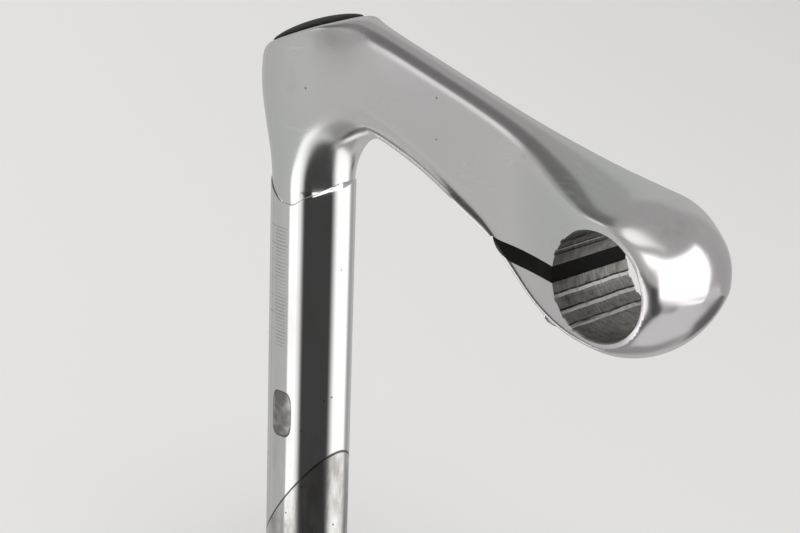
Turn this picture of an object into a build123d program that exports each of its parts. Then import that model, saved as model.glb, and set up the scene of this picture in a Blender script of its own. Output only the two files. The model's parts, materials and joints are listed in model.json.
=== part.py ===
"""A forged quill stem for a racing bicycle.

+Z is up along the steering axis, +X points forward along the extension and +Y to the
rider's left. The origin is on the steering axis, half-way up the part of the quill that
can stand at the locknut. Sizes are in millimetres and angles in degrees.
"""
import os
from math import asin, cos, degrees, radians, sin, sqrt, tan

from build123d import *

# ---- the two standard fits -------------------------------------------------------------
quill_diameter = 22.2          # fits a one-inch steerer
bar_diameter = 26.0            # road handlebar

# ---- reach and slope -------------------------------------------------------------------
extension = 110.0              # steering axis to bar centre, along the slope
slope = 17.0                   # how far the extension falls below square to the quill
head_height = 75.8             # where the extension's line meets the steering axis

# ---- quill and neck --------------------------------------------------------------------
quill_top = 38.0               # the turned quill ends here and the neck starts
neck_diameter = 21.5
neck_plain_length = 4.0        # straight neck above the quill's end
quill_run_out = 0.4            # how far the quill's bevel runs in under the neck's surface
quill_wall = 3.1
quill_bore_top = 34.0
wedge_angle = 55.5             # slope of the slanted cut under the quill
wedge_cut_height = -46.9       # where the cut crosses the steering axis
foot_height = -82.0            # bottom of the wedge
foot_chamfer = 1.2

# ---- head ------------------------------------------------------------------------------
head_length = 31.0             # fore and aft at its fullest
head_width = 25.2
full_under_line = 6.8          # fullest section, below the extension's line at the axis
seat_tilt = 22.0               # the cap's seat rises towards the front
seat_over_line = 6.4           # where the seat crosses the steering axis
recess_diameter = 17.0         # well for the expander bolt's head
recess_depth = 18.2            # the well's floor, below the seat at the steering axis
inner_radius = 16.6            # the bend between quill and extension
bend_turn = 96.0
bend_inset = 0.15              # the bend starts this far inside the neck's surface

# ---- clamp -----------------------------------------------------------------------------
clamp_width = 29.2             # across the side faces at the height of the bore
side_lean = 4.0                # the side faces spread a little towards the top
ring_wall = 1.5                # rim of metal round the bore at the side faces
crown_wall = 9.8               # metal over the bore, in the middle plane
belly_wall = 6.2               # metal under the bore, in the middle plane
nose_wall = 9.9                # metal in front of the bore, in the middle plane
nose_start_inset = 2.6         # the nose starts to narrow this far inside the ring's front
nose_flat_share = 0.12         # least height of the side face, as a share of the nose's rise
nose_angles = (0, 20, 36, 50, 62, 73, 82)    # the nose's sections, from the bore to the front
shoulder_rise = 2.4            # the side faces stand this much over the ring at the bore
groove_width = 1.6
groove_depth = 0.35
groove_pitch = 17.5            # angle between the grip grooves in the bore
groove_start = 25.0            # angle from the slot's middle to the first groove
grooves_over_slot = 2
grooves_under_slot = 3

# ---- slot, its filler and the pinch bolt -----------------------------------------------
slot_gap = 4.0
slot_fall = 5.0                # the slot falls this much towards the bore
slot_drop = 1.6                # its middle line passes this far under the bore's centre
slot_overrun = 3.0             # the slot's cutter starts this far inside the bore
slot_reach = 20.5              # from the bore's wall back to the slot's mouth
relief_length = 14.0           # the slanted relief behind the slot's mouth
relief_angle = 25.0
filler_clearance = 0.05
filler_setback = 0.3           # the filler stands back from the bore's wall
pinch_setback = 4.0            # bolt axis to the bore's wall
pinch_diameter = 5.0
pinch_length = 25.0
boss_diameter = 12.0
boss_drop = 16.4               # slot's middle to the boss's lower face
boss_chamfer = 0.8
insert_diameter = 7.0
insert_length = 12.0
insert_sink = 0.5              # the bush's lower end stands back from the slot
thread_run_out = 2.0           # drilled past the pinch bolt's end

# ---- fasteners -------------------------------------------------------------------------
expander_diameter = 8.0
expander_tip_rise = 7.6        # the bolt ends this far above the wedge's foot
expander_head_diameter = 13.0
expander_socket = 6.0          # across the flats of its hexagon
expander_washer_diameter = 16.0
expander_washer_thickness = 1.6
pinch_head_diameter = 8.5
pinch_socket = 4.0
pinch_washer_diameter = 9.0
pinch_washer_thickness = 1.0
socket_depth_share = 0.55      # of the head's height
pinch_head_sink = 0.4          # the pinch bolt's head sits this far inside its well
head_chamfer = 0.6             # on the bolts' heads
tip_chamfer = 0.8              # on the bolts' ends

# ---- top cap ---------------------------------------------------------------------------
cap_margin = 2.1               # the seat shows this much round the cap
cap_forward = 0.8              # the cap sits this far forward of the seat's middle
cap_edge = 0.8
cap_dome = 3.2
spigot_wall = 1.3
spigot_clearance = 0.1
spigot_reach = 7.2             # from the seat's middle down into the recess

# ---- clearances ------------------------------------------------------------------------
shank_clearance = 0.3          # on the radius, bolt in a drilled hole
thread_clearance = 0.05        # on the radius, bolt in its thread
head_clearance = 0.3           # on the radius, bolt head or washer in its well
face_clearance = 0.05          # between flat faces that turn or slide on each other
wedge_travel = 2.0             # how far the wedge can ride up the cut
cut_overlap = 1.0              # a hole starts this far outside the face that it leaves
well_overrun = 4.0             # the pinch bolt's well runs this far out of the boss

# ---- worked out from the above ---------------------------------------------------------
quill_radius = quill_diameter / 2
neck_radius = neck_diameter / 2
bore_radius = bar_diameter / 2
bore_x = extension * cos(radians(slope))
bore_z = head_height - extension * sin(radians(slope))
clamp_half = clamp_width / 2
ring_radius = bore_radius + ring_wall
lean = tan(radians(side_lean))
nose_reach = bore_radius + nose_wall
seat_height = head_height + seat_over_line
head_full_height = head_height - full_under_line
recess_floor = seat_height - recess_depth


def centre_line(along):
    """Height of the extension's straight line at a share of the reach."""
    return head_height + (bore_z - head_height) * along


def cross_section(x, half_width, middle, crest, shoulder, foot, belly):
    """One cross-section of the forging, square to X, its four heights from the middle."""
    upper = half_width + lean * shoulder
    lower = half_width + lean * foot
    with BuildSketch(Plane.YZ.offset(x)) as profile:
        with BuildLine():
            ThreePointArc(
                (-upper, middle + shoulder), (0, middle + crest), (upper, middle + shoulder)
            )
            Line((upper, middle + shoulder), (lower, middle + foot))
            ThreePointArc(
                (lower, middle + foot), (0, middle + belly), (-lower, middle + foot)
            )
            Line((-lower, middle + foot), (-upper, middle + shoulder))
        make_face()
    return profile.sketch


def hexagon(across_flats):
    """Radius to the corners of a hexagon of this size across its flats."""
    return across_flats / 2 / cos(radians(30))


# ======================================================================== the forging
# Each row: share of the reach, half width as a share of the clamp's, then four heights
# above the centre line as shares of the bore's radius: the crest, the shoulder where the
# side face starts, its lower edge, and the belly.
arm_rows = [
    (0.02, 0.82, 1.21, 0.94, -0.08, -0.73),
    (0.15, 0.80, 1.28, 1.03, 0.08, -0.71),
    (0.29, 0.78, 1.36, 1.12, 0.14, -0.63),
    (0.43, 0.78, 1.44, 1.21, 0.06, -0.68),
    (0.57, 0.79, 1.52, 1.28, -0.11, -0.91),
    (0.66, 0.83, 1.58, 1.32, -0.28, -1.08),
    (0.73, 0.87, 1.63, 1.35, -0.60, -1.40),
    (0.80, 0.92, 1.68, 1.35, -1.02, -1.63),
    (0.89, 0.97, 1.73, 1.34, -1.21, -1.67),
]
arm_sections = []
for along, width_share, *height_shares in arm_rows:
    heights = [bore_radius * share for share in height_shares]
    arm_sections.append(
        cross_section(bore_x * along, clamp_half * width_share, centre_line(along), *heights)
    )

# The nose closes like a ball. The ring round the bore is the edge of its side faces.
nose_lift = (crown_wall - belly_wall) / 2
nose_rise = bore_radius + (crown_wall + belly_wall) / 2
full_width_reach = ring_radius - nose_start_inset
for angle in nose_angles:
    ahead = nose_reach * sin(radians(angle))
    rise = nose_rise * cos(radians(angle))
    inward = max(0, ahead - full_width_reach) / (nose_reach - full_width_reach)
    flat = max(sqrt(max(0, ring_radius**2 - ahead**2)), rise * nose_flat_share)
    shoulder = flat + shoulder_rise * max(0, 1 - ahead / full_width_reach)
    arm_sections.append(
        cross_section(
            bore_x + ahead, clamp_half * sqrt(1 - inward**2), bore_z,
            nose_lift + rise, shoulder, -flat, nose_lift - rise,
        )
    )

with BuildPart() as forged_arm:
    loft(sections=arm_sections)

# The head: ovals that swell from the neck to the fullest one and close in again towards
# the cap's seat, which cuts them. Each row: share of the way, then how much of the swell
# it has fore and aft, and across.
lower_head_rows = [
    (-0.18, 0.0, 0.0),
    (0.0, 0.0, 0.0),
    (0.25, 0.095, 0.19),
    (0.55, 0.42, 0.70),
    (0.80, 0.81, 0.84),
    (1.0, 1.0, 1.0),
]
upper_head_rows = [
    (0.35, 0.81, 0.86),
    (0.70, 0.61, 0.72),
    (1.12, 0.33, 0.51),
]
neck_start = quill_top + neck_plain_length
seat_top = seat_height + head_length / 2 * tan(radians(seat_tilt))
length_swell = head_length / 2 - neck_radius
width_swell = head_width / 2 - neck_radius
head_ovals = []
for rows, start, end in (
    (lower_head_rows, neck_start, head_full_height),
    (upper_head_rows, head_full_height, seat_top),
):
    for share, fore_and_aft, across in rows:
        with BuildSketch(Plane.XY.offset(start + (end - start) * share)) as oval:
            Ellipse(neck_radius + length_swell * fore_and_aft, neck_radius + width_swell * across)
        head_ovals.append(oval.sketch)
with BuildPart() as head:
    loft(sections=head_ovals)

# The bend under the head carries the neck's round section into the extension.
bend_axis = Axis((neck_radius + inner_radius, 0, neck_start), (0, 1, 0))
with BuildPart() as bend:
    with BuildSketch(Plane.XY.offset(neck_start)):
        Circle(neck_radius - bend_inset)
    revolve(axis=bend_axis, revolution_arc=bend_turn)

# Planes and tools that cut the forging.
seat_plane = Plane(
    origin=(0, 0, seat_height),
    x_dir=(cos(radians(seat_tilt)), 0, sin(radians(seat_tilt))),
    z_dir=(-sin(radians(seat_tilt)), 0, cos(radians(seat_tilt))),
)
cut_plane = Plane(
    origin=(0, 0, wedge_cut_height),
    x_dir=(cos(radians(wedge_angle)), 0, sin(radians(wedge_angle))),
    z_dir=(-sin(radians(wedge_angle)), 0, cos(radians(wedge_angle))),
)
bore_plane = Plane(origin=(bore_x, 0, bore_z), x_dir=(1, 0, 0), z_dir=(0, -1, 0))
slot_back = Vector(-cos(radians(slot_fall)), 0, sin(radians(slot_fall)))
slot_up = Vector(sin(radians(slot_fall)), 0, cos(radians(slot_fall)))
bore_centre = Vector(bore_x, 0, bore_z)
slot_centre = bore_centre - slot_up * slot_drop
slot_start = bore_radius - slot_overrun
slot_length = slot_reach + slot_overrun
slot_origin = slot_centre + slot_back * (slot_start + slot_length / 2)
slot_plane = Plane(origin=slot_origin, x_dir=slot_back, z_dir=slot_up)
pinch_origin = slot_centre + slot_back * (bore_radius + pinch_setback)
pinch_plane = Plane(origin=pinch_origin, x_dir=slot_back, z_dir=slot_up)
mouth_origin = slot_centre + slot_back * (bore_radius + slot_reach)
through_cut = clamp_width        # to each side, so that a cut runs right through
slot_angle = 180 - slot_fall + degrees(asin(slot_drop / bore_radius))
groove_angles = [slot_angle + groove_start + groove_pitch * step for step in range(grooves_under_slot)]
groove_angles += [slot_angle - groove_start - groove_pitch * step for step in range(grooves_over_slot)]

pinch_radius = pinch_diameter / 2
pinch_head_height = pinch_diameter
pinch_stack = pinch_head_height + face_clearance + pinch_washer_thickness
pinch_well_depth = pinch_stack + pinch_head_sink
pinch_seat = pinch_well_depth - boss_drop
well_radius = pinch_washer_diameter / 2 + head_clearance
insert_radius = insert_diameter / 2
insert_start = slot_gap / 2 + insert_sink
thread_end = pinch_seat - pinch_washer_thickness + pinch_length + thread_run_out

with BuildPart() as forging:
    add(forged_arm.part)
    add(head.part)
    add(bend.part)
    split(bisect_by=seat_plane, keep=Keep.BOTTOM)

with BuildPart() as quill:
    with BuildSketch(Plane.XY.offset(foot_height)):
        Circle(quill_radius)
    extrude(amount=quill_top - foot_height)
    chamfer(quill.edges().group_by(Axis.Z)[-1], quill_radius - neck_radius + quill_run_out)
    split(bisect_by=cut_plane, keep=Keep.TOP)

with BuildPart() as boss:
    with BuildSketch(pinch_plane.offset(-boss_drop)):
        Circle(boss_diameter / 2)
    extrude(amount=boss_drop - slot_gap)
    chamfer(boss.faces().sort_by(Axis.Z)[0].edges(), boss_chamfer)

with BuildPart() as slot_cutter:
    with BuildSketch(slot_plane):
        Rectangle(slot_length, through_cut * 2)
    extrude(amount=slot_gap / 2, both=True)

# Behind the slot's mouth a slanted relief frees the lip under the slot.
relief_drop = relief_length * tan(radians(relief_angle))
mouth_plane = Plane(origin=mouth_origin, x_dir=slot_back, z_dir=(0, 1, 0))
with BuildPart() as relief_cutter:
    with BuildSketch(mouth_plane):
        with BuildLine():
            Polyline(
                (0, slot_gap / 2),
                (relief_length, slot_gap / 2 - relief_drop),
                (relief_length, -boss_drop),
                (0, -boss_drop),
                close=True,
            )
        make_face()
    extrude(amount=through_cut, both=True)

with BuildPart() as stem_body:
    add(forging.part)
    add(quill.part)
    add(boss.part)
    # the handlebar's bore, right through
    with BuildSketch(bore_plane):
        Circle(bore_radius)
    extrude(amount=through_cut, both=True, mode=Mode.SUBTRACT)
    add(slot_cutter.part, mode=Mode.SUBTRACT)
    add(relief_cutter.part, mode=Mode.SUBTRACT)
    # grip grooves along the bore's rear wall, over and under the slot
    with BuildSketch(bore_plane):
        for angle in groove_angles:
            with PolarLocations(bore_radius, 1, start_angle=angle):
                Rectangle(groove_depth * 2, groove_width)
    extrude(amount=through_cut, both=True, mode=Mode.SUBTRACT)
    # expander bolt: the hollow quill, the drilled neck and the well for the head
    with BuildSketch(Plane.XY.offset(foot_height)):
        Circle(quill_radius - quill_wall)
    extrude(amount=quill_bore_top - foot_height, mode=Mode.SUBTRACT)
    with BuildSketch(Plane.XY.offset(quill_bore_top - cut_overlap)):
        Circle(expander_diameter / 2 + shank_clearance)
    extrude(amount=recess_floor - quill_bore_top + cut_overlap * 2, mode=Mode.SUBTRACT)
    with BuildSketch(Plane.XY.offset(recess_floor)):
        Circle(recess_diameter / 2)
    extrude(amount=seat_height - recess_floor + recess_diameter, mode=Mode.SUBTRACT)
    # pinch bolt: the well from below, the drilled lip, the bush's seat and the thread's end
    with BuildSketch(pinch_plane.offset(pinch_seat)):
        Circle(well_radius)
    extrude(amount=-pinch_well_depth - well_overrun, mode=Mode.SUBTRACT)
    with BuildSketch(pinch_plane.offset(pinch_seat - cut_overlap)):
        Circle(pinch_radius + shank_clearance)
    extrude(amount=thread_end - pinch_seat + cut_overlap, mode=Mode.SUBTRACT)
    with BuildSketch(pinch_plane):
        Circle(insert_radius)
    extrude(amount=insert_start + insert_length, mode=Mode.SUBTRACT)
stem_body.part.label = "stem_body"

# ======================================================================== slot filler
filler_half = slot_gap / 2 - filler_clearance
with BuildPart() as slot_insert:
    add(forging.part)
    with BuildSketch(slot_plane):
        Rectangle(slot_length, through_cut * 2)
    extrude(amount=filler_half, both=True, mode=Mode.INTERSECT)
    with BuildSketch(bore_plane):
        Circle(bore_radius + filler_setback)
    extrude(amount=through_cut, both=True, mode=Mode.SUBTRACT)
    with BuildSketch(pinch_plane):
        Circle(pinch_radius + shank_clearance)
    extrude(amount=slot_gap, both=True, mode=Mode.SUBTRACT)
slot_insert.part.label = "slot_insert"

# ======================================================================== pinch bolt set
pinch_washer_face = pinch_seat - pinch_washer_thickness
pinch_head_top = pinch_washer_face - face_clearance
with BuildPart() as pinch_washer:
    with BuildSketch(pinch_plane.offset(pinch_washer_face)):
        Circle(pinch_washer_diameter / 2)
        Circle(pinch_radius + shank_clearance, mode=Mode.SUBTRACT)
    extrude(amount=pinch_washer_thickness)
pinch_washer.part.label = "pinch_washer"

with BuildPart() as pinch_bolt:
    with BuildSketch(pinch_plane.offset(pinch_head_top)):
        Circle(pinch_head_diameter / 2)
    extrude(amount=-pinch_head_height)
    chamfer(pinch_bolt.edges().filter_by(GeomType.CIRCLE).sort_by(Axis.Z)[0], head_chamfer)
    with BuildSketch(pinch_plane.offset(pinch_head_top)):
        Circle(pinch_radius)
    extrude(amount=pinch_length)
    chamfer(pinch_bolt.edges().filter_by(GeomType.CIRCLE).sort_by(Axis.Z)[-1], tip_chamfer)
    with BuildSketch(pinch_plane.offset(pinch_head_top - pinch_head_height)):
        RegularPolygon(hexagon(pinch_socket), 6)
    extrude(amount=pinch_head_height * socket_depth_share, mode=Mode.SUBTRACT)
pinch_bolt.part.label = "pinch_bolt"

with BuildPart() as thread_insert:
    with BuildSketch(pinch_plane.offset(insert_start)):
        Circle(insert_radius)
        Circle(pinch_radius + thread_clearance, mode=Mode.SUBTRACT)
    extrude(amount=insert_length)
thread_insert.part.label = "thread_insert"

# ======================================================================== expander set
expander_radius = expander_diameter / 2
expander_head_height = expander_diameter
expander_seat = recess_floor + expander_washer_thickness + face_clearance
expander_length = expander_seat - foot_height - expander_tip_rise
with BuildPart() as expander_washer:
    with BuildSketch(Plane.XY.offset(recess_floor)):
        Circle(expander_washer_diameter / 2)
        Circle(expander_radius + shank_clearance, mode=Mode.SUBTRACT)
    extrude(amount=expander_washer_thickness)
expander_washer.part.label = "expander_washer"

with BuildPart() as expander_bolt:
    with BuildSketch(Plane.XY.offset(expander_seat)):
        Circle(expander_head_diameter / 2)
    extrude(amount=expander_head_height)
    chamfer(expander_bolt.edges().filter_by(GeomType.CIRCLE).sort_by(Axis.Z)[-1], head_chamfer)
    with BuildSketch(Plane.XY.offset(expander_seat)):
        Circle(expander_radius)
    extrude(amount=-expander_length)
    chamfer(expander_bolt.edges().filter_by(GeomType.CIRCLE).sort_by(Axis.Z)[0], tip_chamfer)
    with BuildSketch(Plane.XY.offset(expander_seat + expander_head_height)):
        RegularPolygon(hexagon(expander_socket), 6)
    extrude(amount=-expander_head_height * socket_depth_share, mode=Mode.SUBTRACT)
expander_bolt.part.label = "expander_bolt"

# The wedge is as thick as the quill and rides up its slanted cut. Its hole is oblong,
# because it moves forward of the bolt by the travel's forward part.
wedge_forward = wedge_travel * cos(radians(wedge_angle))
wedge_hole_radius = expander_radius + shank_clearance
with BuildPart() as expander_wedge:
    with BuildSketch(Plane.XY.offset(foot_height)):
        Circle(quill_radius)
    extrude(amount=quill_top - foot_height)
    chamfer(expander_wedge.edges().group_by(Axis.Z)[0], foot_chamfer)
    split(bisect_by=cut_plane.offset(-face_clearance), keep=Keep.BOTTOM)
    with BuildSketch(Plane.XY.offset(foot_height)):
        with Locations((-wedge_forward / 2, 0)):
            SlotCenterToCenter(wedge_forward, wedge_hole_radius * 2)
    extrude(amount=quill_top - foot_height, mode=Mode.SUBTRACT)
expander_wedge.part.label = "expander_wedge"

# ======================================================================== top cap
seat_outline = forging.part.faces().sort_by_distance(seat_plane.origin)[0]
seat_rear = seat_outline.bounding_box().min.X / cos(radians(seat_tilt))
seat_front = seat_outline.bounding_box().max.X / cos(radians(seat_tilt))
cap_half_length = (seat_front - seat_rear) / 2 - cap_margin
head_at_seat = section(head.part, section_by=seat_plane)
cap_half_width = head_at_seat.bounding_box().max.Y - cap_margin
cap_centre = Plane(
    origin=seat_plane.from_local_coords(Vector((seat_front + seat_rear) / 2 + cap_forward, 0, 0)),
    x_dir=seat_plane.x_dir,
    z_dir=seat_plane.z_dir,
)
dome_radius = (cap_half_length**2 + (cap_dome - cap_edge) ** 2) / 2 / (cap_dome - cap_edge)
dome_ball = cap_centre.offset(cap_dome - dome_radius) * Sphere(dome_radius)
spigot_radius = recess_diameter / 2 - spigot_clearance
with BuildPart() as spigot:
    with BuildSketch(Plane.XY.offset(seat_height - spigot_reach)):
        Circle(spigot_radius)
        Circle(spigot_radius - spigot_wall, mode=Mode.SUBTRACT)
    extrude(amount=spigot_reach + spigot_radius)
    split(bisect_by=seat_plane, keep=Keep.BOTTOM)
with BuildPart() as top_cap:
    with BuildSketch(cap_centre):
        Ellipse(cap_half_length, cap_half_width)
    extrude(amount=cap_dome)
    add(dome_ball, mode=Mode.INTERSECT)
    add(spigot.part)
top_cap.part.label = "top_cap"

# ======================================================================== written out
os.makedirs("parts", exist_ok=True)
export_step(stem_body.part, "parts/stem_body.step")
export_step(slot_insert.part, "parts/slot_insert.step")
export_step(top_cap.part, "parts/top_cap.step")
export_step(pinch_washer.part, "parts/pinch_washer.step")
export_step(pinch_bolt.part, "parts/pinch_bolt.step")
export_step(thread_insert.part, "parts/thread_insert.step")
export_step(expander_washer.part, "parts/expander_washer.step")
export_step(expander_bolt.part, "parts/expander_bolt.step")
export_step(expander_wedge.part, "parts/expander_wedge.step")
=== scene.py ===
# %% [markdown]
# This lesson dresses a forged quill stem, the part that carries a racing bicycle's handlebar.
# The stem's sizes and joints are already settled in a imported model, the frame. Blender's job
# is the look: smooth forged shapes, satin and mirror polish, worn machined walls, black trim.
# We load the frame first, because every later piece takes its place from it.

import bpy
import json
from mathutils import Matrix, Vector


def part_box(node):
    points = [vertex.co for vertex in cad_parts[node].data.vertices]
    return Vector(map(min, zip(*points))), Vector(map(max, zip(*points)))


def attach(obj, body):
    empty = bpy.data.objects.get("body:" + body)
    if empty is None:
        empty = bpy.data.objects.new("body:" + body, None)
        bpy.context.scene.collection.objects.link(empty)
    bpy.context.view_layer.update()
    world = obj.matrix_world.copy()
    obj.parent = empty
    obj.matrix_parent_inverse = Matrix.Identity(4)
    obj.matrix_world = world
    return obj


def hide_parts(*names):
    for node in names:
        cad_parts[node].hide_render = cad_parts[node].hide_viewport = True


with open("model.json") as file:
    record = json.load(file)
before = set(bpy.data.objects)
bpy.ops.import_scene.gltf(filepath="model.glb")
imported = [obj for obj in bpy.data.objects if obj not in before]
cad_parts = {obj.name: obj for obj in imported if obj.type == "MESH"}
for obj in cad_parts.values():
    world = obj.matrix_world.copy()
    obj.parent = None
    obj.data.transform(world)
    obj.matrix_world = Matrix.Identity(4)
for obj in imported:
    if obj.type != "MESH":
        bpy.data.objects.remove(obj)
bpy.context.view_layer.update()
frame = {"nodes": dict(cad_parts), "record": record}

import json

import bmesh
import bpy
import numpy as np
from mathutils import Matrix

print("nodes:", sorted(frame["nodes"]))

# %% [markdown]
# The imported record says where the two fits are: the quill that enters the fork and the bore
# that holds the bar. The rest of the forging is described from those two. We think in
# millimetres and turn the numbers into metres only when a mesh is made.

# %% Sizes of the forging
MM = 0.001
mounts = {mount["name"]: mount for mount in frame["record"]["mounts"]}
quill_radius = mounts["quill"]["dims"]["r_mm"]
bore_radius = mounts["handlebar_clamp"]["dims"]["r_mm"]
bore_x, _, bore_z = (value / MM for value in mounts["handlebar_clamp"]["pos_m"])
foot_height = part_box("expander_wedge")[0].z / MM

head_height = 75.8        # where the extension's line meets the steering axis
neck_radius = 10.75
neck_start = 42.0         # height at which the neck starts to bend forward
inner_radius = 16.6       # of the bend between neck and extension
seat_height = 82.2        # where the cap's seat crosses the steering axis
seat_slope = np.tan(np.radians(22.0))
clamp_half = 14.6
lean = np.tan(np.radians(4.0))
ring_radius = bore_radius + 1.7
seam_height, seam_slope = -46.9, np.tan(np.radians(55.5))
print("bore centre", round(bore_x, 2), round(bore_z, 2), "foot", round(foot_height, 2))

# %% [markdown]
# A surface here is a grid of points: rows along the piece and columns round it. Quads join
# each point to its neighbours. One helper makes the quads, another puts the points into a
# mesh, welds what coincides and turns the faces outwards, so that poles and seams are closed.

# %% Turn a grid of points into a mesh
def grid_quads(rows, columns, close_rows=False):
    """Corner numbers of the quads between neighbours. Columns run round and always close."""
    row = np.arange(rows if close_rows else rows - 1)[:, None]
    column = np.arange(columns)[None, :]
    next_row, next_column = (row + 1) % rows, (column + 1) % columns
    corners = (row * columns + column, row * columns + next_column,
               next_row * columns + next_column, next_row * columns + column)
    return np.stack(corners, -1).reshape(-1, 4)


def make_piece(name, points, faces, material=None):
    """A new object at the origin from points in millimetres and lists of corner numbers."""
    mesh = bpy.data.meshes.new(name)
    mesh.from_pydata((np.asarray(points).reshape(-1, 3) * MM).tolist(), [], faces)
    work = bmesh.new()
    work.from_mesh(mesh)
    bmesh.ops.remove_doubles(work, verts=work.verts, dist=2e-7)
    bmesh.ops.recalc_face_normals(work, faces=work.faces)
    work.to_mesh(mesh)
    work.free()
    piece = bpy.data.objects.new(name, mesh)
    bpy.context.scene.collection.objects.link(piece)
    if material:
        mesh.materials.append(material)
    return piece


def grid_piece(name, points, material=None, close_rows=False, ends=True):
    """A piece from an array of rows, columns and XYZ, its two open ends filled if asked."""
    rows, columns = points.shape[:2]
    faces = grid_quads(rows, columns, close_rows).tolist()
    if ends and not close_rows:
        faces += [list(range(columns)), list(range((rows - 1) * columns, rows * columns))]
    return make_piece(name, points, faces, material)


def smooth_shade(piece, degrees=32):
    """Shades the piece smooth, but leaves an edge crisp where its faces turn by more."""
    piece.data.shade_smooth()
    piece.data.set_sharp_from_angle(angle=np.radians(degrees))

# %% [markdown]
# Cutting tools do on screen what they do in the workshop. A Boolean modifier takes one closed
# shape from another, and we keep its result and throw the tool away. The cut faces take the
# tool's material, so a bored wall gets the bored finish without our having to find it.

# %% Cut, join or keep the common part
def carve(piece, tool, how="DIFFERENCE"):
    """Applies one Boolean with the tool to the piece, and removes the tool."""
    step = piece.modifiers.new("carve", "BOOLEAN")
    step.operation, step.object, step.solver = how, tool, "EXACT"
    step.material_mode = "TRANSFER"
    graph = bpy.context.evaluated_depsgraph_get()
    result = bpy.data.meshes.new_from_object(piece.evaluated_get(graph))
    piece.modifiers.clear()
    piece.data = result
    bpy.data.objects.remove(tool)
    return piece


def lathe(name, profile, material=None, axis=None, columns=96, close_rows=False):
    """Turns a profile of (radius, height) round an axis: x = r cos a, y = r sin a, z = h.
    The axis is (origin, across, up), three vectors, and is the Z axis if left out."""
    radius, height = np.array(profile, float).T
    angle = np.linspace(0, 2 * np.pi, columns, endpoint=False)
    local = np.stack(np.broadcast_arrays(
        radius[:, None] * np.cos(angle), radius[:, None] * np.sin(angle), height[:, None]), -1)
    if axis is not None:
        origin, across, up = (np.array(part, float) for part in axis)
        local = origin + local @ np.stack([across, np.cross(up, across), up])
    return grid_piece(name, local, material, close_rows)


print("helpers ready")

# %% [markdown]
# The camera comes early, so that every trial render is made from the same place. It is a
# long lens about half a metre away, above and ahead of the stem. It looks down by 18 degrees,
# and its horizon is almost level.

# %% Camera
camera_right = (0.72028, 0.69294, 0.032107)
camera_down = (0.240394, -0.205927, -0.94858)
camera_forward = (-0.650698, 0.690962, -0.314904)
camera_place = (384.849, -374.897, 197.687)

sensor_width, focal_length, picture_width = 36.0, 2148.59, 800

camera_data = bpy.data.cameras.new("camera")
camera_data.sensor_width = sensor_width
camera_data.lens = focal_length * sensor_width / picture_width
camera = bpy.data.objects.new("camera", camera_data)
turn = np.stack([camera_right, -np.array(camera_down), -np.array(camera_forward)], 1)
shift = Matrix.Translation([value * MM for value in camera_place])
camera.matrix_world = shift @ Matrix(turn.tolist()).to_4x4()
bpy.context.scene.collection.objects.link(camera)
bpy.context.scene.camera = camera
print("lens", round(camera_data.lens, 1), "mm")

# %% [markdown]
# The forging is one skin from the quill to the nose. Seen from the side, sections fan round
# the inside of the bend and then march along the extension. Each section is a drop standing
# on its round end: a belly below, sides that lean in from the foot to a narrow shoulder, and
# a small crown above. Only at the clamp does the top grow as wide as the side faces. The
# table gives the heights along the extension, as shares of the bore's radius over its
# sloping centre line, and the widths as shares of the clamp's. A cubic curve joins its rows.

# %% The extension's section table
#   share of reach, half width, crest, shoulder, foot, belly, half width at the shoulder
extension_table = np.array([
    (0.02, 0.82, 1.366, 1.06, -0.08, -0.73, 0.4),
    (0.15, 0.80, 1.387, 1.08, 0.08, -0.71, 0.39),
    (0.29, 0.78, 1.409, 1.11, 0.14, -0.63, 0.385),
    (0.43, 0.78, 1.432, 1.13, 0.06, -0.68, 0.385),
    (0.57, 0.79, 1.454, 1.15, -0.11, -0.91, 0.395),
    (0.66, 0.83, 1.468, 1.14, -0.28, -1.08, 0.44),
    (0.73, 0.87, 1.480, 1.08, -0.60, -1.4, 0.55),
    (0.80, 0.92, 1.491, 1.04, -1.02, -1.63, 0.72),
    (0.89, 0.97, 1.505, 1.04, -1.21, -1.67, 0.95),
    (1.00, 1.00, 1.523, 1.19, -1.13, -1.48, 1.2),
])


def smooth_table(at, knots, values):
    """Cubic curve through a table, its slope at each row the mean of the slopes beside it."""
    slopes = np.gradient(values, knots)
    low = np.clip(np.searchsorted(knots, at, side="right") - 1, 0, len(knots) - 2)
    width = knots[low + 1] - knots[low]
    t = (at - knots[low]) / width
    return ((1 + 2 * t) * (1 - t) ** 2 * values[low] + t * (1 - t) ** 2 * width * slopes[low]
            + t ** 2 * (3 - 2 * t) * values[low + 1] + t ** 2 * (t - 1) * width * slopes[low + 1])


def smooth_step(value, start, end):
    """0 before start, 1 after end, and 3t^2 - 2t^3 between them."""
    t = np.clip((value - start) / (end - start), 0, 1)
    return t * t * (3 - 2 * t)


def centre_height(x):
    """The extension's straight centre line: from the head's height down to the bore's, in
    proportion to x."""
    return head_height + (bore_z - head_height) * x / bore_x


def extension_row(x):
    """Half width, crest, shoulder, foot and belly heights of the upright sections at x."""
    shares = [smooth_table(x / bore_x, extension_table[:, 0], extension_table[:, column])
              for column in range(1, 6)]
    heights = [centre_height(x) + bore_radius * share for share in shares[1:]]
    return clamp_half * shares[0], *heights


def shoulder_width(x):
    """Half width of the drop's narrow top: the table's share times the clamp's half width."""
    share = np.clip(x / bore_x, 0.02, 1)
    return clamp_half * smooth_table(share, extension_table[:, 0], extension_table[:, 6])


bend_x = neck_radius + inner_radius
fan_end = [float(value) for value in extension_row(np.array(bend_x))]
print("section where the fan ends:", np.round(fan_end, 1))

# %% [markdown]
# Over the steerer the head is an oval that swells out of the round neck. Seen from above it
# is a little longer than wide, and it closes in again towards the cap. The second table holds
# its half length and half width, height by height.

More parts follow.
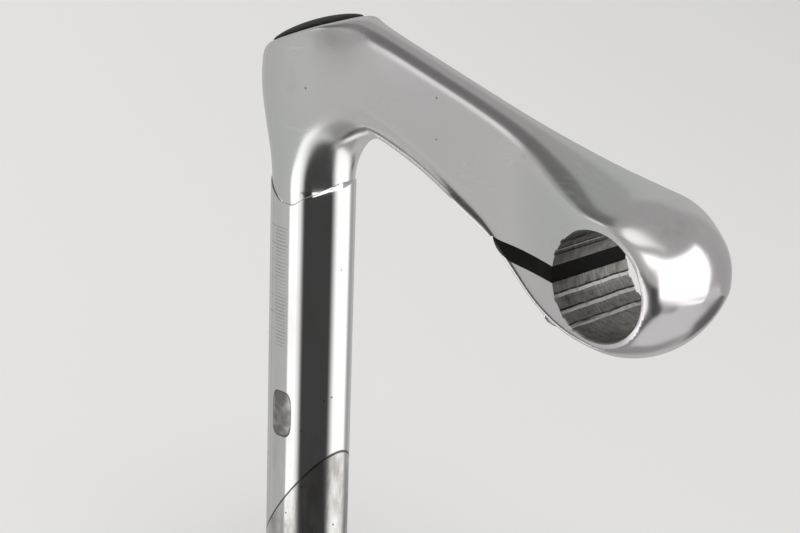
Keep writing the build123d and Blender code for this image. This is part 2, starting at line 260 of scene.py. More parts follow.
# %% The head's oval
head_levels = np.array([36.0, 42.0, 48.75, 56.85, 63.6, 69.0, 75.8, 82.6, 95.0])
head_half_length = np.array([10.75, 10.75, 11.2, 12.75, 14.5, 15.2, 14.8, 13.9, 12.3])
head_half_width = np.array([10.75, 10.75, 11.1, 12.0, 12.4, 12.6, 12.4, 12.1, 11.7])


def side_width(x, z):
    """Half width of the side face at a point of the side view: the head's oval behind the
    axis, b * sqrt(1 - (x/a)^2), and a soft change to the extension's leaning side ahead."""
    level = np.clip(z, head_levels[0], head_levels[-1])
    half_length = smooth_table(level, head_levels, head_half_length)
    half_width = smooth_table(level, head_levels, head_half_width)
    behind = half_width * np.sqrt(np.clip(1 - (np.minimum(x, 0) / half_length) ** 2, 0, 1))
    ahead, *_ = extension_row(np.clip(x, 2.2, bore_x))
    ahead = ahead + lean * (z - centre_height(x))
    return np.where(x < 0, behind, half_width + (ahead - half_width) * smooth_step(x, 0, bend_x))


def arc_share(rise_share, rise, half_width):
    """Width of a circular arc over its chord at a share of its rise, 1 at the chord and 0 at
    the top: sin(a)/sin(A), where tan(A/2) = rise/half width."""
    opening = 2 * np.arctan2(np.maximum(rise, 1e-6), np.maximum(half_width, 1e-6))
    cosine = np.cos(opening) + (1 - np.cos(opening)) * np.clip(rise_share, 0, 1)
    return np.sqrt(np.clip(1 - cosine ** 2, 0, 1)) / np.sin(opening)


print("head is", 2 * head_half_length.max(), "by", 2 * head_half_width.max(), "mm")

# %% [markdown]
# Now the three runs of sections are written down the same way: a point on the inner side, a
# direction, and along it the belly, foot, shoulder, crest and outer end. The fan turns about
# the middle of the bend. Its outer end is whichever comes first, the head's back or the seat.

# %% Section lines: fan, extension and nose
fan_rows, extension_rows, nose_rows, samples = 84, 78, 46, 500
crown_depth = 3.4         # from the shoulder up to the crest, over the bend


def fan_lines():
    """Lines through the bend's centre, from level backwards round to upright."""
    angle = np.radians(np.linspace(180, 90, fan_rows))
    degrees = np.degrees(angle)
    across, up = np.cos(angle), np.sin(angle)
    _, crest, _, foot, belly = (float(v) for v in extension_row(np.array(bend_x)))
    inner = inner_radius + (belly - neck_start - inner_radius) * (1 - degrees / 180) * 2
    shallow, far_away = 0.4, 110.0
    foot_at = np.array([90.0, 105, 120, 135, 150, 165, 180])
    foot_is = np.array([foot - neck_start, 26.5, 25.9, 25.4, 25.0, 25.7, bend_x])
    crest_slope = (bore_z + extension_table[-1, 2] * bore_radius - crest) / (bore_x - bend_x)
    meets_crest = up - crest_slope * across
    crest_line = np.where(meets_crest > shallow,
                          (crest - neck_start) / np.maximum(meets_crest, shallow), far_away)
    seat_line = (seat_height + seat_slope * bend_x - neck_start) / (up - seat_slope * across)
    reach = np.linspace(0, 70, 1400)
    x = bend_x + across[:, None] * reach
    z = neck_start + up[:, None] * reach
    level = np.clip(z, head_levels[0], head_levels[-1])
    half_length = smooth_table(level, head_levels, head_half_length)
    back = np.where(x > -half_length, reach, 0).max(1)
    outer = np.minimum(np.minimum(seat_line, back), crest_line)
    return {"x": np.full(fan_rows, bend_x), "z": np.full(fan_rows, neck_start), "across": across,
            "up": up, "belly": inner, "foot": smooth_table(degrees, foot_at, foot_is),
            "shoulder": crest_line - crown_depth, "crest": crest_line, "outer": outer}


def extension_lines():
    """Upright lines along the extension, past the fan and short of the bore's centre."""
    x = np.linspace(bend_x, bore_x, extension_rows + 1)[1:]
    _, crest, shoulder, foot, belly = extension_row(x)
    return {"x": x, "z": np.zeros_like(x), "across": np.zeros_like(x), "up": np.ones_like(x),
            "belly": belly, "foot": foot, "shoulder": shoulder, "crest": crest, "outer": crest}


crown_wall, belly_wall, nose_wall = 6.8, 6.2, 9.3
nose_tip_lift = 2.4       # how far the oval's middle has risen at the tip
nose_lift = (crown_wall - belly_wall) / 2
nose_rise = bore_radius + (crown_wall + belly_wall) / 2
nose_reach = bore_radius + nose_wall
nose_full = ring_radius - 2.6


def nose_lines():
    """Upright lines over the nose. Its outline is an oval about the bore, whose middle rises
    with the square of the distance ahead. The edge of its flat side follows the ring."""
    angle = np.radians(np.linspace(0, 90, nose_rows + 1)[1:])
    ahead, rise = nose_reach * np.sin(angle), nose_rise * np.cos(angle)
    flat = np.maximum(np.sqrt(np.clip(ring_radius ** 2 - ahead ** 2, 0, None)), rise * 0.12)
    shoulder = flat + 0.8 * np.clip(1 - ahead / nose_full, 0, None)
    x = bore_x + ahead
    middle = bore_z + nose_lift + nose_tip_lift * (ahead / nose_reach) ** 2
    return {"x": x, "z": np.zeros_like(x), "across": np.zeros_like(x), "up": np.ones_like(x),
            "belly": middle - rise, "foot": np.maximum(bore_z - flat, middle - rise + 0.2),
            "shoulder": np.minimum(bore_z + shoulder, middle + rise - 0.2),
            "crest": middle + rise, "outer": middle + rise}


runs = [fan_lines(), extension_lines(), nose_lines()]
line = {key: np.concatenate([run[key] for run in runs]) for key in runs[0]}
print("section lines:", len(line["x"]))

# %% [markdown]
# Each line becomes a closed outline. We step along it, read the half width at every step, and
# spread the points evenly round the outline by its length. A Gaussian blur round the outline
# and along the rows then softens every corner by a millimetre or two, as polishing does.

# %% The skin's grid
half_points = 66


def outline_points(line):
    """Rows of points round each section: height along the line, half width across it. The
    side narrows in proportion from the foot to the shoulder, and arcs close both ends."""
    share = (1 - np.cos(np.linspace(0, np.pi, samples))) / 2
    height = line["belly"][:, None] + (line["outer"] - line["belly"])[:, None] * share
    x = line["x"][:, None] + line["across"][:, None] * height
    z = line["z"][:, None] + line["up"][:, None] * height
    foot, shoulder = line["foot"][:, None], line["shoulder"][:, None]
    low_rise, high_rise = foot - line["belly"][:, None], line["crest"][:, None] - shoulder
    width = side_width(x, z)
    on_nose = x > bore_x
    inward = np.clip(x - bore_x - nose_full, 0, None) / (nose_reach - nose_full)
    closing = np.sqrt(np.clip(1 - inward ** 2, 0, 1))
    nose_width = closing * clamp_half + lean * (z - bore_z) * closing
    width = np.where(on_nose, nose_width, width)
    width = width + 0.4 * smooth_step(x, 78, 100) * closing
    up_the_side = np.clip((height - foot) / np.maximum(shoulder - foot, 1e-6), 0, 1)
    narrowing = np.minimum(shoulder_width(x), width) - width
    width = width + smooth_step(x, 2, 24) * up_the_side * narrowing * ~on_nose
    below = (foot - height) / np.maximum(low_rise, 1e-6)
    above = (height - shoulder) / np.maximum(high_rise, 1e-6)
    width = width * np.where(height < foot, arc_share(below, low_rise, width), 1)
    width = width * np.where(height > shoulder, arc_share(above, high_rise, width), 1)
    height = np.concatenate([height[:, :1], height, height[:, -1:]], 1)
    width = np.concatenate([width[:, :1] * 0, width, width[:, -1:] * 0], 1)
    return height, width


def even_points(height, width, count):
    """The same outlines with their points spaced evenly by length."""
    steps = np.hypot(np.diff(height, axis=1), np.diff(width, axis=1)) + 1e-9
    length = np.concatenate([np.zeros((len(height), 1)), steps.cumsum(1)], 1)
    at = np.linspace(0, 1, count)
    rows = [(np.interp(at * run[-1], run, h), np.interp(at * run[-1], run, w))
            for run, h, w in zip(length, height, width)]
    return np.array(rows).transpose(1, 0, 2)


height, width = even_points(*outline_points(line), half_points)
x = line["x"][:, None] + line["across"][:, None] * height
z = line["z"][:, None] + line["up"][:, None] * height
near_side = np.stack([x, -width, z], -1)
far_side = np.stack([x, width, z], -1)[:, -2:0:-1]
skin = np.concatenate([near_side, far_side], 1)


def blur(points, sigma, along):
    """Gaussian mean of each point's neighbours: round the outline (1) or along the rows (0)."""
    reach = int(np.ceil(3 * sigma))
    weights = np.exp(-0.5 * (np.arange(-reach, reach + 1) / sigma) ** 2)
    weights /= weights.sum()
    if along == 1:
        shifts = range(-reach, reach + 1)
        return sum(w * np.roll(points, shift, 1) for shift, w in zip(shifts, weights))
    padded = np.concatenate([points[:1]] * reach + [points] + [points[-1:]] * reach)
    return sum(w * padded[shift:shift + len(points)] for shift, w in enumerate(weights))


row_number = np.arange(len(skin))[:, None, None]
nose_first = fan_rows + extension_rows
past_nose = row_number - nose_first
round_weight = smooth_step(row_number, 0, 14) * (1 - smooth_step(past_nose, 30, 44))
row_weight = smooth_step(row_number, 0, 12) * (1 - smooth_step(past_nose, 18, 36))
skin = skin + round_weight * (blur(skin, 1.4, 1) - skin)
skin = skin + row_weight * (blur(skin, 2.4, 0) - skin)
print("skin grid", skin.shape[:2])

# %% [markdown]
# The quill is turned on a lathe, so its rows are plain circles, from the slanted seam at the
# bottom up to where the cutting tool ran out of the forged neck. The neck isn't quite round,
# so the cut ends on a wavy line. We make the two as two closed bodies and join them: the
# forged neck reaches down inside the quill, and the run-out line appears where they meet.

# %% The forged neck and the turned quill
round_angle = np.linspace(0, np.pi, half_points)
ring_x = np.concatenate([np.cos(round_angle), np.cos(round_angle)[-2:0:-1]])
ring_y = np.concatenate([-np.sin(round_angle), np.sin(round_angle)[-2:0:-1]])
run_out_angles = [-180, -137, -112, -92, -73, -57, -34, -11, -5, 20, 43, 73, 110, 137, 180]
run_out_heights = [43.5, 43.0, 40.4, 38.6, 38.4, 40.6, 42.2, 43.8, 44.2, 44.0, 43.3, 41.4,
                   41.0, 43.0, 43.5]
recess_angle, recess_height = -87, -19.8
recess_half_width, recess_half_height = 3.45, 6.7


def neck_rows():
    """Circles below the skin's first row, drawn in so that they hide in the quill."""
    radius = np.array([9.6, 9.7, 10.5, neck_radius, neck_radius])[:, None]
    level = np.array([33.0, 36.0, 37.4, 38.2, 40.4])[:, None]
    return np.stack([radius * ring_x, radius * ring_y, level + 0 * ring_x], -1)


def quill_surface():
    """Circles r(cos a, sin a) with heights from the slanted seam to the run-out line, whose
    last rows bend in over a bevel of 0.1 and end inside the neck."""
    a = np.linspace(0, 2 * np.pi, 180, endpoint=False)
    degrees = np.degrees(np.mod(a + np.pi, 2 * np.pi) - np.pi)
    top = np.interp(degrees, run_out_angles, run_out_heights)
    top = sum(w * np.roll(top, k) for k, w in ((-2, 0.1), (-1, 0.2), (0, 0.4), (1, 0.2), (2, 0.1)))
    seam = seam_height + seam_slope * quill_radius * np.cos(a)
    share = np.array([0, 0, 0.3, 0.6, 1, 1, 1, 1, 1])[:, None]
    radius = np.array([quill_radius] * 6 + [quill_radius - 0.01, quill_radius - 0.1, 9.2])[:, None]
    lift = np.array([0, 0.2, 0, 0, -0.6, -0.16, -0.08, 0, 0.1])[:, None]
    z = seam + (top - seam) * share + lift
    return np.stack([radius * np.cos(a), radius * np.sin(a), z], -1)


def recess_tool(material):
    """A cutter bent to the quill: rounded boxes |s|^3.6 + |t|^3.6 = 1, s round the quill and
    t along it, on cylinders that widen from the recess's floor at 10.78 to 12.2 outside."""
    turn = np.linspace(0, 2 * np.pi, 72, endpoint=False)
    s = np.sign(np.cos(turn)) * np.abs(np.cos(turn)) ** 0.55
    t = np.sign(np.sin(turn)) * np.abs(np.sin(turn)) ** 0.55
    share = np.array([0.02, 0.4, 0.8, 0.9, 0.97, 1.06, 0.5, 0.02])[:, None]
    radius = np.array([10.78, 10.78, 10.78, 10.8, 11.0, 12.2, 12.2, 12.2])[:, None] + 0 * s
    a = np.radians(recess_angle) + share * s * recess_half_width / quill_radius
    z = recess_height + share * t * recess_half_height
    points = np.stack([radius * np.cos(a), radius * np.sin(a), z], -1)
    return grid_piece("recess_tool", points, material)


skin = np.concatenate([neck_rows(), skin])
print("forging skin", skin.shape[:2], "quill", quill_surface().shape[:2])

# %% [markdown]
# The holes follow. The handlebar's bore has two grip grooves over the slot and three under
# it, and a small chamfer at each side face. The side faces were milled flat round the bore,
# which leaves the thin bright ring where the round nose meets the flat.

# %% Tools that cut the forging
def leaning_face(height):
    """How far out the milled side face stands at a height."""
    return clamp_half + lean * (height - bore_z)


def prism(name, outline, half_depth, material=None):
    """A closed outline of (x, z) points carried along Y."""
    outline = np.array(outline, float)
    rows = np.stack([np.column_stack([outline[:, 0], np.full(len(outline), y), outline[:, 1]])
                     for y in (-half_depth, half_depth)])
    return grid_piece(name, rows, material)


slot_fall, slot_drop, slot_gap, slot_reach = np.radians(5.0), 1.6, 4.0, 20.5
slot_back = np.array([-np.cos(slot_fall), 0, np.sin(slot_fall)])
slot_up = np.array([np.sin(slot_fall), 0, np.cos(slot_fall)])
slot_centre = np.array([bore_x, 0, bore_z]) - slot_up * slot_drop
slot_angle = 180 - np.degrees(slot_fall) + np.degrees(np.arcsin(slot_drop / bore_radius))
groove_angles = [slot_angle + 25 + 17.5 * step for step in range(3)]
groove_angles += [slot_angle - 25 - 17.5 * step for step in range(2)]


def on_slot(back, up):
    """(x, z) of a point given along and across the slot."""
    point = slot_centre + slot_back * back + slot_up * up
    return point[0], point[2]


def bore_tool(material):
    """A cylinder along Y whose radius steps out by 0.35 in the grooves and flares outside
    the side faces: rows along Y, columns round the axis."""
    half_groove = np.degrees(1.6 / 2 / bore_radius)
    angle = np.arange(0, 360, 2.5)
    for middle in groove_angles:
        angle = angle[np.abs(angle - middle) > half_groove + 1.2]
    edges = [middle + side * (half_groove + step) for middle in groove_angles
             for side in (-1, 1) for step in (-0.15, 0.15)]
    angle = np.sort(np.concatenate([angle, edges]))
    in_groove = np.min(np.abs(angle[:, None] - np.array(groove_angles)), 1) < half_groove
    radius = bore_radius + 0.35 * in_groove
    a = np.radians(angle)
    face = leaning_face(bore_z + bore_radius * np.sin(a))
    rows = []
    for side, reach, flare in ((-1, 3.0, 3.35), (-1, -0.35, 0.0), (1, -0.35, 0.0), (1, 3.0, 3.35)):
        rows.append(np.stack([bore_x + (radius + flare) * np.cos(a), side * (face + reach),
                              bore_z + (radius + flare) * np.sin(a)], -1))
    return grid_piece("bore_tool", np.array(rows), material)


def milling_tool(side, material):
    """A slab outside one side face, its inner face leaning with it."""
    corners = [(70, 12), (140, 12), (140, 82), (70, 82)]
    inner = [(x, side * leaning_face(z), z) for x, z in corners]
    outer = [(x, side * 32, z) for x, z in corners]
    return grid_piece("milling_tool", np.array([inner, outer], float), material)


print("grooves at", np.round(groove_angles, 1), "degrees")

# %% [markdown]
# Shader maths reads best as ordinary sums. This small class holds one output socket, and its
# operators add the Math nodes: `1 - mask` or `a * b + c` are then real lines of Python. One
# method makes any other node from its type, its settings and the values or links it takes.

# %% A socket that can be used like a number
class Tone:
    """An output socket of a node tree with arithmetic."""

    def __init__(self, tree, socket):
        self.tree, self.socket = tree, socket

    def node(self, kind, settings=None, values=None, output=0):
        """Adds a node: settings first, then a value or a Tone for each named or numbered input."""
        made = self.tree.nodes.new(kind)
        for name, value in (settings or {}).items():
            setattr(made, name, value)
        for name, value in (values or {}).items():
            if isinstance(value, Tone):
                self.tree.links.new(value.socket, made.inputs[name])
            else:
                made.inputs[name].default_value = value
        return Tone(self.tree, made.outputs[output] if made.outputs else None)

    def math(self, operation, *values):
        return self.node("ShaderNodeMath", {"operation": operation}, dict(enumerate(values)))

    def __add__(self, other): return self.math("ADD", self, other)
    def __radd__(self, other): return self.math("ADD", other, self)
    def __sub__(self, other): return self.math("SUBTRACT", self, other)
    def __rsub__(self, other): return self.math("SUBTRACT", other, self)
    def __mul__(self, other): return self.math("MULTIPLY", self, other)
    def __rmul__(self, other): return self.math("MULTIPLY", other, self)
    def __truediv__(self, other): return self.math("DIVIDE", self, other)
    def __pow__(self, other): return self.math("POWER", self, other)

    def abs(self): return self.math("ABSOLUTE", self)
    def fraction(self): return self.math("FRACT", self)

    def between(self, start, end, low=0.0, high=1.0):
        """Smoothly from low to high as the value goes from start to end."""
        return self.node("ShaderNodeMapRange", {"interpolation_type": "SMOOTHSTEP", "clamp": True},
                         {"Value": self, "From Min": start, "From Max": end,
                          "To Min": low, "To Max": high})

    def peak(self, middle, half_width, soft):
        """1 within half_width of the middle, falling to 0 over soft."""
        return (self - middle).abs().between(half_width, half_width + soft, 1.0, 0.0)

    def blend(self, first, second):
        """Mixes two colours by this value."""
        inputs = {0: self, 6: first, 7: second}
        return self.node("ShaderNodeMix", {"data_type": "RGBA"}, inputs, 2)

    def noise(self, scale, detail=3.0, roughness=0.55, stretch=(1, 1, 1)):
        """Noise on this vector, in cycles per metre, squeezed along the axes by stretch."""
        mapped = self.node("ShaderNodeMapping", None, {0: self, 3: stretch})
        return self.node("ShaderNodeTexNoise", None,
                         {"Vector": mapped, "Scale": scale, "Detail": detail,
                          "Roughness": roughness})


def new_material(name, metallic=0.0, **constants):
    """A Principled material, its constant sockets set directly. Returns the material, a
    function that feeds a socket, and the object's coordinates as a vector and as X, Y, Z."""
    material = bpy.data.materials.new(name)
    material.use_nodes = True
    tree = material.node_tree
    shader = tree.nodes["Principled BSDF"]
    shader.inputs["Metallic"].default_value = metallic
    for socket, value in constants.items():
        shader.inputs[socket.replace("_", " ")].default_value = value
    place = Tone(tree, tree.nodes.new("ShaderNodeTexCoord").outputs["Object"])
    parts = [place.node("ShaderNodeSeparateXYZ", None, {0: place}, axis) / MM for axis in range(3)]

    def feed(socket, value):
        tree.links.new(value.socket, shader.inputs[socket])

    return material, feed, place, parts


def bump(height, distance, strength=1.0):
    """A Bump node: height 0 to 1, distance in millimetres."""
    return height.node("ShaderNodeBump", None, {
        "Height": height, "Distance": distance * MM, "Strength": strength})


print("shader helpers ready")

# %% [markdown]
# Finishes. The forging is satin-polished aluminium. Bare metal has no pigment, so its looks
# come from how evenly it was polished: slow clouds in the gloss, hairlines left by the mop,
# a glossier nose, and the small nicks and dark pits of years in a workshop drawer.

# %% Marks that several metals share
def pits(place, per_metre, size):
    """1 in small round pits, one in each cell of a Voronoi pattern, kept where a noise is high."""
    spot = place.node("ShaderNodeTexVoronoi", {"feature": "F1"},
                      {"Vector": place, "Scale": per_metre})
    some = place.noise(per_metre * 0.35, 1).between(0.5, 0.56)
    return spot.between(size * 0.6, size, 1.0, 0.0) * some


def hairlines(place, turn, per_metre):
    """Long thin scratches: a noise stretched twenty times along one turned direction."""
    turned = place.node("ShaderNodeMapping", None, {0: place, 2: turn, 3: (0.05, 1, 1)})
    line = turned.node("ShaderNodeTexNoise", None,
                       {"Vector": turned, "Scale": per_metre, "Detail": 1.0})
    return line.peak(0.5, 0.004, 0.012)


def seam_distance(px, pz):
    """Upright distance to the slanted seam between quill and wedge:
    |z - height - slope x|."""
    return (pz - seam_height - px * float(seam_slope)).abs()


print("pits, hairlines and seam ready")

# %% Satin-polished aluminium
forged, feed, place, (px, py, pz) = new_material("forged_aluminium", metallic=1.0)
cloud = place.noise(30, 4)
tint = place.noise(13, 2).between(0.36, 0.62)
nose = px.between(84, 100)
from_bore = ((px - bore_x) ** 2 + (pz - bore_z) ** 2) ** 0.5
ring = from_bore.between(15.6, 16.0, 1.0, 0.0) * py.abs().between(11.5, 12.5)
scratch = hairlines(place, (0.2, 0.5, 0.7), 420) * place.noise(60, 2).between(0.5, 0.6)
pit = pits(place, 150, 0.055)
colour = tint.blend((0.875, 0.91, 0.87, 1), (0.925, 0.88, 0.905, 1))
colour = (scratch * 0.5).blend(colour, (0.98, 0.98, 0.97, 1))
colour = (place.noise(70, 5).between(0.60, 0.74) * 0.3).blend(colour, (0.66, 0.63, 0.61, 1))
feed("Base Color", (pit * 0.8).blend(colour, (0.10, 0.09, 0.08, 1)))
buffed_neck = pz.between(42, 54, 1.0, 0.0) * px.between(16, 22, 1.0, 0.0)
feed("Roughness", 0.185 + 0.07 * cloud - 0.03 * nose - 0.12 * buffed_neck + 0.16 * pit
     + 0.05 * ring + 0.05 * scratch)
feed("Normal", bump(place.noise(700, 3) * 0.5 - pit, 0.006, 0.4))
print("forging finish has", len(forged.node_tree.nodes), "nodes")

# %% [markdown]
# The quill was turned and then buffed like a mirror. On its left side are a scale of etched
# lines, a long one every five steps, which shows how deep the stem may stand in the fork. A
# scale is a repeating pattern, so the fraction of the height gives all its lines at once.

# %% Mirror-polished quill with its scale
turned, feed, place, (px, py, pz) = new_material("turned_aluminium", metallic=1.0)
angle = py.math("ARCTAN2", py, px) * (180 / np.pi)
scale_top, scale_step = 31.7, 4.76
steps_down = (scale_top - pz) / scale_step
in_scale = pz.between(31.8, 32.1, 1.0, 0.0) * pz.between(-1.5, -1.2)
long_line = (steps_down + 0.5).fraction().peak(0.5, 0.018, 0.02) * angle.peak(-98.5, 18.0, 2.0)
short_line = ((steps_down * 5) + 0.5).fraction().peak(0.5, 0.08, 0.1) * angle.peak(-93, 9.5, 2.0)
etched = long_line.math("MAXIMUM", long_line, short_line) * in_scale
etched = etched * place.noise(160, 3).between(0.32, 0.55, 0.25, 1.0)
smudge = place.noise(55, 4, stretch=(1, 1, 0.6)).between(0.5, 0.75)
rubbed = hairlines(place, (0.1, 1.35, 0.3), 700) * place.noise(90, 2).between(0.52, 0.62)
pit = pits(place, 190, 0.07)
grime = seam_distance(px, pz).between(0.2, 0.5, 1.0, 0.0)
from_axis = (px ** 2 + py ** 2) ** 0.5
recess_levels = pz.between(-30, -28) * pz.between(-12, -10, 1.0, 0.0)
sunk = from_axis.between(10.86, 10.98, 1.0, 0.0) * recess_levels
wall = from_axis.peak(10.94, 0.09, 0.05) * recess_levels
blotches = place.noise(120, 5, stretch=(1, 1, 0.35)).between(0.45, 0.7)
low_wear = pz.between(-34, -8, 1.0, 0.0) * blotches
colour = smudge.blend((0.90, 0.905, 0.905, 1), (0.83, 0.81, 0.79, 1))
colour = (low_wear * 0.5).blend(colour, (0.62, 0.60, 0.57, 1))
colour = (etched * 0.55).blend(colour, (0.30, 0.30, 0.30, 1))
mottle = place.noise(240, 4).between(0.3, 0.6, 0.45, 1.0)
colour = (sunk * mottle).blend(colour, (0.30, 0.29, 0.275, 1))
colour = (wall * 0.7).blend(colour, (0.08, 0.075, 0.07, 1))
feed("Base Color", (pit.math("MAXIMUM", pit, grime) * 0.85).blend(colour, (0.06, 0.055, 0.05, 1)))
feed("Roughness", 0.06 + 0.04 * smudge + 0.09 * low_wear + 0.05 * rubbed + 0.25 * etched
     + 0.3 * grime + 0.14 * sunk)
ripple = place.noise(260, 3, stretch=(1, 1, 0.5))
feed("Normal", bump(ripple - 0.8 * etched - pit, 0.008, 0.35))
print("lines on the scale:", int((scale_top + 1.2) / scale_step * 5) + 1)

# %% [markdown]
# Where the bar was clamped, the bore is dull and bruised: fine turning lines run round it, a
# painted shadow darkens the wall beside each grip groove, and a bright line runs along their
# edges, partly rubbed bright by the bar and partly a painted highlight.
# The marks follow the bore, so their place is its own angle and depth.

# %% Worn bore
bored, feed, place, (px, py, pz) = new_material("bored_aluminium", metallic=1.0)
bore_turn = py.math("ARCTAN2", pz - bore_z, px - bore_x) * (180 / np.pi)
bore_turn = bore_turn + bore_turn.math("LESS_THAN", bore_turn, 0.0) * 360
unrolled = place.node("ShaderNodeCombineXYZ", None, {0: bore_turn * 0.227, 1: py})
squeezed = unrolled.node("ShaderNodeMapping", None, {0: unrolled, 3: (0.16, 1.0, 1)})


def wall_noise(vector, scale, detail):
    """Noise over the unrolled wall, in cycles per millimetre."""
    return vector.node("ShaderNodeTexNoise", None,
                       {"Vector": vector, "Scale": scale, "Detail": detail})


turning = wall_noise(squeezed, 1.3, 5.0)
bruise = wall_noise(unrolled, 0.45, 5.0)
waver = wall_noise(unrolled, 0.2, 2.0) * 2.4 - 1.2
# Beside each groove the wall gets a painted shadow, and along its edge runs a bright line, partly
# rubbed metal and partly a painted highlight.
groove_shade, rubbed_edge_highlight = turning * 0, turning * 0
for middle in groove_angles:
    away = bore_turn + waver - middle
    groove_shade = groove_shade.math("MAXIMUM", groove_shade, away.peak(-4.7, 0.5, 0.9))
    rubbed_edge_highlight = rubbed_edge_highlight.math("MAXIMUM", rubbed_edge_highlight, away.peak(-2.2, 1.5, 0.8))
near_mouth = py.abs().between(11.5, 14.5)
speck = turning.between(0.5, 0.62) * bruise.between(0.46, 0.66)
colour = turning.between(0.25, 0.75).blend((0.24, 0.235, 0.22, 1), (0.47, 0.46, 0.44, 1))
colour = (bruise.between(0.48, 0.7) * 0.6).blend(colour, (0.17, 0.165, 0.15, 1))
colour = (speck * 0.55).blend(colour, (0.07, 0.065, 0.055, 1))
# The bright line along one edge of each groove: partly metal rubbed bright, partly a painted
# highlight.
bright_edge = rubbed_edge_highlight * bruise.between(0.3, 0.5, 0.5, 1.0)
colour = bright_edge.blend(colour, (0.93, 0.925, 0.91, 1))
colour = (near_mouth * 0.25).blend(colour, (0.7, 0.7, 0.68, 1))
# The painted shadow beside each groove, mottled and laid on almost black.
mottled_groove_shade = groove_shade * bruise.between(0.3, 0.55, 0.45, 0.95)
feed("Base Color", mottled_groove_shade.blend(colour, (0.02, 0.018, 0.015, 1)))
feed("Roughness", 0.32 + 0.2 * turning - 0.1 * rubbed_edge_highlight)
feed("Normal", bump(turning - groove_shade, 0.02, 0.5))
print("grooves drawn at", np.round(groove_angles, 1))

# %% [markdown]
# The cap is black moulded plastic, scuffed grey along its crown by hands and cables. The
# filler in the slot is black rubber, softer and duller, with a trace of dust.

# %% Black plastic and black rubber
black, feed, place, _ = new_material("black_plastic", Specular_IOR_Level=0.18)
scuff = hairlines(place, (0.3, 0.2, 1.1), 500)
dust = place.noise(110, 5).between(0.42, 0.75)
colour = dust.blend((0.012, 0.012, 0.011, 1), (0.035, 0.034, 0.031, 1))
feed("Base Color", (scuff * 0.4).blend(colour, (0.09, 0.088, 0.08, 1)))
feed("Roughness", 0.5 + 0.18 * dust + 0.12 * scuff)
feed("Normal", bump(place.noise(1500, 2), 0.012, 0.5))

rubber, feed, place, _ = new_material("black_rubber", Specular_IOR_Level=0.12)
bloom = place.noise(170, 4).between(0.45, 0.8)
feed("Base Color", bloom.blend((0.006, 0.006, 0.005, 1), (0.022, 0.021, 0.018, 1)))
feed("Roughness", 0.42 + 0.25 * bloom)
feed("Normal", bump(place.noise(900, 3), 0.02, 0.5))
print("two blacks ready")

# %% [markdown]
# The bolts and washers are zinc-plated steel, yellowed and dulled in patches. The wedge is
# bare aluminium that lives inside the fork: grease and damp have left it stained and
# streaked, and it is pressed against the steel tube each time the bolt is tightened.

# %% Plated steel and the stained wedge
steel, feed, place, _ = new_material("bolt_steel", metallic=1.0)
patina = place.noise(230, 5).between(0.35, 0.68)
feed("Base Color", patina.blend((0.46, 0.455, 0.44, 1), (0.24, 0.225, 0.19, 1)))
feed("Roughness", 0.22 + 0.2 * patina + 0.06 * place.noise(900, 2))
feed("Normal", bump(place.noise(1200, 2), 0.008, 0.4))

worn, feed, place, (px, py, pz) = new_material("worn_wedge", metallic=1.0)
stain = place.noise(130, 6, 0.62, stretch=(1, 1, 0.4)).between(0.38, 0.66)
streak = place.noise(420, 3, stretch=(1, 1, 0.12)).between(0.5, 0.75)
grime = seam_distance(px, pz).between(0.25, 0.6, 1.0, 0.0)
pit = pits(place, 330, 0.12)
colour = stain.blend((0.83, 0.83, 0.82, 1), (0.46, 0.44, 0.41, 1))
colour = (streak * 0.45).blend(colour, (0.25, 0.235, 0.21, 1))
feed("Base Color", (pit.math("MAXIMUM", pit, grime) * 0.85).blend(colour, (0.05, 0.045, 0.04, 1)))
feed("Roughness", 0.09 + 0.15 * stain + 0.1 * streak + 0.2 * grime)
feed("Normal", bump(place.noise(330, 4, stretch=(1, 1, 0.5)) - pit, 0.02, 0.4))
print("steel and wedge ready")

# %% [markdown]
# Now the forging is put together. The quill joins the neck, the side faces are milled flat,
# the boss for the clamp's bolt is added, and the bore, the slot and the bolts' ways are cut.
# Booleans are slow to think about but exact: each tool leaves its own finish on its cut.

# %% Build and cut the forging
body = grid_piece("forged_body", skin, forged)
quill = grid_piece("turned_quill", quill_surface(), turned)
carve(quill, recess_tool(turned))
carve(body, quill, "UNION")
for side in (-1, 1):
    carve(body, milling_tool(side, forged))
filler = body.copy()
filler.data = body.data.copy()
filler.name = "slot_filler"
bpy.context.scene.collection.objects.link(filler)

mouth = bore_radius + slot_reach
slot_outline = [on_slot(*corner) for corner in (
    (bore_radius - 3, -slot_gap / 2), (bore_radius - 3, slot_gap / 2), (mouth, slot_gap / 2),
    (mouth + 14, slot_gap / 2 - 6.53), (mouth + 14, -16.4), (mouth, -16.4), (mouth, -slot_gap / 2))]
pinch_origin = slot_centre + slot_back * (bore_radius + 4.0)
pinch_axis = (pinch_origin, slot_back, slot_up)
boss = [(4.9, -16.4), (5.5, -16.25), (5.85, -15.85), (6.0, -15.3), (6.0, -3.0)]
carve(body, lathe("boss", boss, forged, pinch_axis), "UNION")
carve(body, bore_tool(bored))
carve(body, prism("slot_tool", slot_outline, 30, bored))
bolt_way = [(8, -90), (8, 34), (4.3, 34), (4.3, 64), (8.5, 64), (8.5, 110)]
carve(body, lathe("bolt_way", bolt_way, bored))
pinch_way = [(4.8, -26), (4.8, -9.95), (2.8, -9.95), (2.8, 0), (3.5, 0), (3.5, 14.5),
             (2.8, 14.5), (2.8, 16.05)]
carve(body, lathe("pinch_way", pinch_way, bored, pinch_axis, 64))
smooth_shade(body)
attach(body, "stem")
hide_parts("stem_body")
print("forging:", len(body.data.polygons), "faces")

# %% [markdown]
# A strip of black rubber fills the clamp's slot. It could be a scaled cube, but the clamp's
# sides lean, and a cube's ends would stand square to them. So a copy of the forging was kept
# from before the slot was cut. What it has in common with a slab a little thinner than the
# slot ends where the clamp's sides do. Then the bore and the screw's way are cleared from it.

